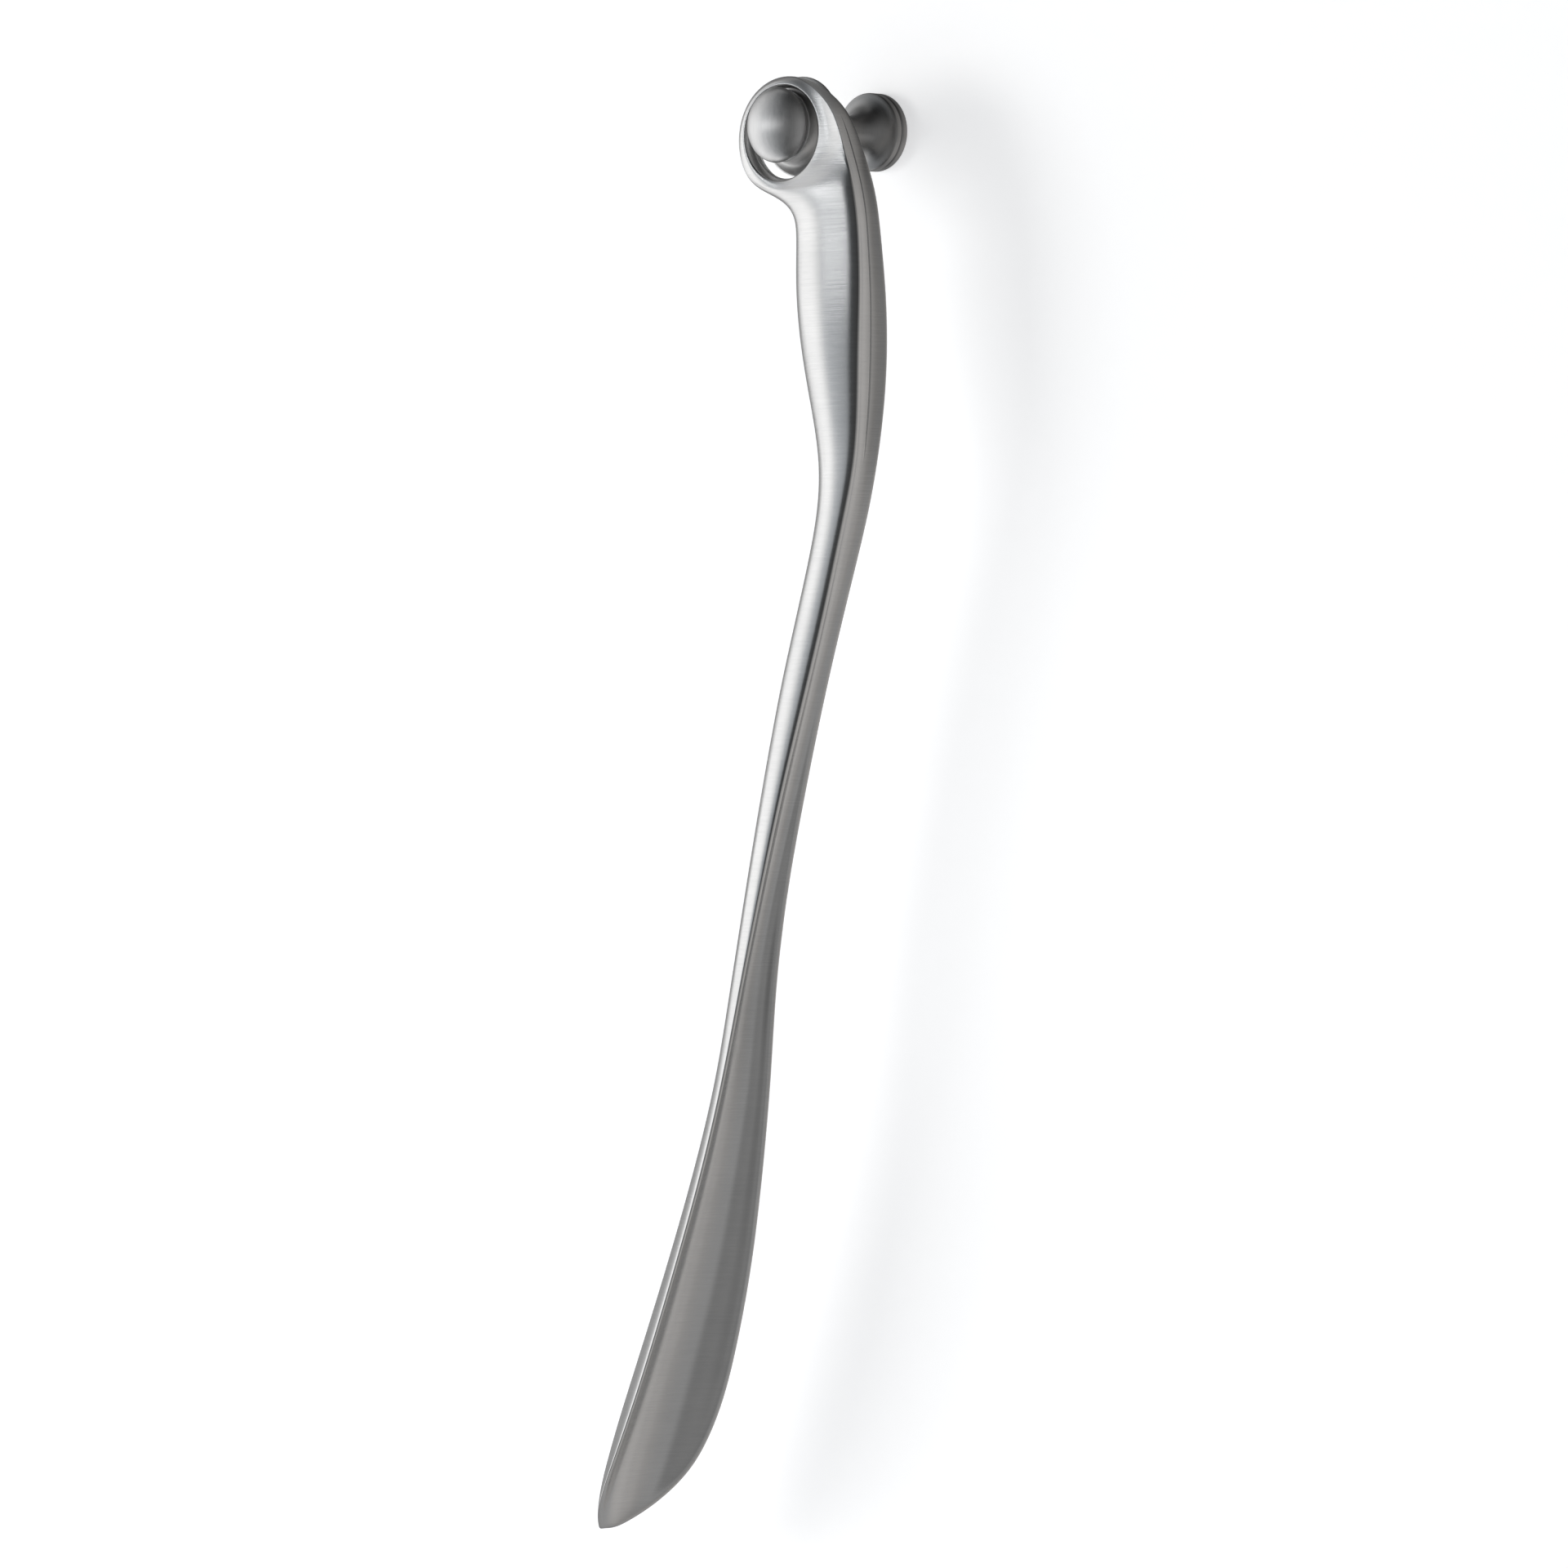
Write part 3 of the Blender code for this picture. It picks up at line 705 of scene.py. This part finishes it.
def moulded_nylon():
    m = Surface("moulded_nylon")
    cloud = m.noise(250, detail=3)
    m.link(m.colours(cloud, (0.3, (0.38, 0.39, 0.41)), (0.7, (0.45, 0.46, 0.48))),
           m.shader.inputs["Base Color"])
    m.link(m.spread(cloud, 0.5, 0.65), m.shader.inputs["Roughness"])
    m.link(m.bump(m.noise(3000, detail=2), 0.25, 0.0001), m.shader.inputs["Normal"])
    return m.material


# Studio

def stage_plane(name, size, place, turn, colour, glow):
    """A plain matt surface with a little glow, which the metal doesn't mirror."""
    bm = bmesh.new()
    bmesh.ops.create_grid(bm, x_segments=1, y_segments=1, size=size / 2)
    mesh = bpy.data.meshes.new(name)
    bm.to_mesh(mesh)
    bm.free()
    obj = bpy.data.objects.new(name, mesh)
    obj.location = place
    obj.rotation_euler = turn
    obj.visible_glossy = False
    obj.visible_shadow = False
    bpy.context.scene.collection.objects.link(obj)
    m = Surface(name)
    m.shader.inputs["Roughness"].default_value = 0.9
    m.shader.inputs["Specular IOR Level"].default_value = 0.0
    m.shader.inputs["Emission Color"].default_value = (0.985, 0.99, 1.0, 1)
    m.shader.inputs["Emission Strength"].default_value = glow
    m.link(m.colours(m.noise(3, detail=2), (0.3, colour), (0.7, tuple(c * 1.01 for c in colour))),
           m.shader.inputs["Base Color"])
    mesh.materials.append(m.material)
    return m


def make_wall():
    """A white wall behind the hook, which can be seen through from its back."""
    m = stage_plane("wall", 4.0, (0, 0.0004, 0.5), (math.radians(90), 0, 0), (0.70, 0.705, 0.71),
                    WALL_GLOW)
    through = m.add("ShaderNodeBsdfTransparent")
    side = m.add("ShaderNodeNewGeometry")
    mix = m.add("ShaderNodeMixShader")
    m.link(side.outputs["Backfacing"], mix.inputs["Fac"])
    m.link(m.shader.outputs["BSDF"], mix.inputs[1])
    m.link(through.outputs["BSDF"], mix.inputs[2])
    m.link(mix.outputs[0], m.tree.nodes["Material Output"].inputs["Surface"])


def direction(azimuth, elevation):
    """The unit vector to a light. Azimuth 0 is in front of the hook, and 90 is on the +X side."""
    a, e = math.radians(azimuth), math.radians(elevation)
    return Vector((math.sin(a) * math.cos(e), -math.cos(a) * math.cos(e), math.sin(e)))


def softbox(name, at, azimuth, elevation, distance, size, power):
    """An area light aimed at a point."""
    light = bpy.data.lights.new(name, "AREA")
    light.shape = "RECTANGLE"
    light.size, light.size_y = size
    light.energy = power
    obj = bpy.data.objects.new(name, light)
    towards = direction(azimuth, elevation)
    obj.location = at + towards * distance
    obj.rotation_euler = towards.to_track_quat("Z", "Y").to_euler()
    bpy.context.scene.collection.objects.link(obj)
    return obj


def angle_ramp(nodes, angle, reach, stops):
    """Light against an angle in degrees from -reach to reach. Each stop is an angle, a level and a warmth."""
    share = nodes.math("ADD", nodes.math("DIVIDE", angle, math.radians(2 * reach)), 0.5)
    return nodes.colours(share, *[((at + reach) / (2 * reach), grey(*light)) for at, *light in stops])


def make_world():
    """Pale to the eye. The metal sees a white side on its left, a dark gap in front and a grey room."""
    world = bpy.data.worlds.new("studio")
    bpy.context.scene.world = world
    nodes = Nodes(world, "Generated")
    apart = nodes.add("ShaderNodeSeparateXYZ")
    nodes.link(nodes.place, apart.inputs[0])
    forward = nodes.math("MULTIPLY", apart.outputs["Y"], -1)
    azimuth = nodes.math("ARCTAN2", apart.outputs["X"], forward)
    elevation = nodes.math("ARCSINE", apart.outputs["Z"], 0)
    bounce = nodes.math("MULTIPLY", angle_ramp(nodes, azimuth, 180, BOUNCE_AROUND),
                        angle_ramp(nodes, elevation, 90, BOUNCE_BELOW))
    bounce = nodes.math("ADD", nodes.math("MULTIPLY", bounce, BOUNCE), 1)
    strength = nodes.math("MULTIPLY", angle_ramp(nodes, elevation, 90, ROOM_ABOVE), ROOM_LIGHT)
    seen_by_metal = nodes.tree.nodes["Background"]
    nodes.link(angle_ramp(nodes, azimuth, 180, ROOM_AROUND), seen_by_metal.inputs["Color"])
    nodes.link(nodes.math("MULTIPLY", strength, bounce), seen_by_metal.inputs["Strength"])
    pale = nodes.add("ShaderNodeBackground")
    pale.inputs["Color"].default_value = (0.93, 0.94, 0.96, 1)
    path = nodes.add("ShaderNodeLightPath")
    mix = nodes.add("ShaderNodeMixShader")
    nodes.link(path.outputs["Is Camera Ray"], mix.inputs["Fac"])
    nodes.link(seen_by_metal.outputs[0], mix.inputs[1])
    nodes.link(pale.outputs[0], mix.inputs[2])
    nodes.link(mix.outputs[0], nodes.tree.nodes["World Output"].inputs["Surface"])


def make_studio():
    make_world()
    make_wall()
    stage_plane("floor", 6.0, (0, -1.0, FLOOR_Z), (0, 0, 0), (0.86, 0.865, 0.88), FLOOR_GLOW)
    wall_light = softbox("wall_light", LOOK_AT, -40, 4, 3.0, (1.4, 1.0), WALL_POWER)
    wall_light.visible_glossy = False
    wall_light.data.color = (1.0, 0.985, 0.96)
    knob_light = softbox("knob_light", KNOB_FACE, -37, 3, 0.3, (0.11, 0.04), KNOB_POWER)
    knob_light.visible_camera = False


def make_camera():
    camera = bpy.data.objects.new("camera", bpy.data.cameras.new("camera"))
    bpy.context.scene.collection.objects.link(camera)
    towards = direction(CAMERA_AZIMUTH, 0)
    camera.location = LOOK_AT + towards * CAMERA_DISTANCE
    camera.rotation_euler = towards.to_track_quat("Z", "Y").to_euler()
    camera.data.sensor_width = SENSOR
    camera.data.lens = SENSOR * CAMERA_DISTANCE / FRAME_WIDTH
    camera.data.clip_end = 50
    bpy.context.scene.camera = camera


def dress(piece, material, node, body):
    """Give a piece its material and its body, and hide the CAD node it stands for."""
    piece.data.materials.clear()
    piece.data.materials.append(material)
    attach(piece, body)
    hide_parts(node)


def main():
    bpy.context.scene.view_settings.view_transform = "Standard"
    make_camera()
    make_studio()
    # turned carries the aluminium with painted shade, disc the same aluminium with painted light
    casting, turned, disc = brushed_casting(), turned_metal_painted_shade(), brushed_disc_painted_light()
    steel, nylon = plated_steel(), moulded_nylon()
    dress(make_shoehorn(), casting, "shoehorn", "shoehorn")
    dress(make_plate(), turned, "wall_plate", "hook")
    dress(make_base(), turned, "hook_base", "hook")
    dress(make_collar(), disc, "hook_collar", "hook")
    dress(make_knob(), disc, "hook_knob", "hook")
    dress(make_stud(), steel, "hook_stud", "hook")
    dress(make_grub_screw(), steel, "grub_screw", "hook")
    for side, x in (("left", -SCREW_X), ("right", SCREW_X)):
        dress(make_wall_screw(side, x), steel, "wall_screw_" + side, "hook")
        dress(make_wall_plug(side, x), nylon, "wall_plug_" + side, "hook")


main()
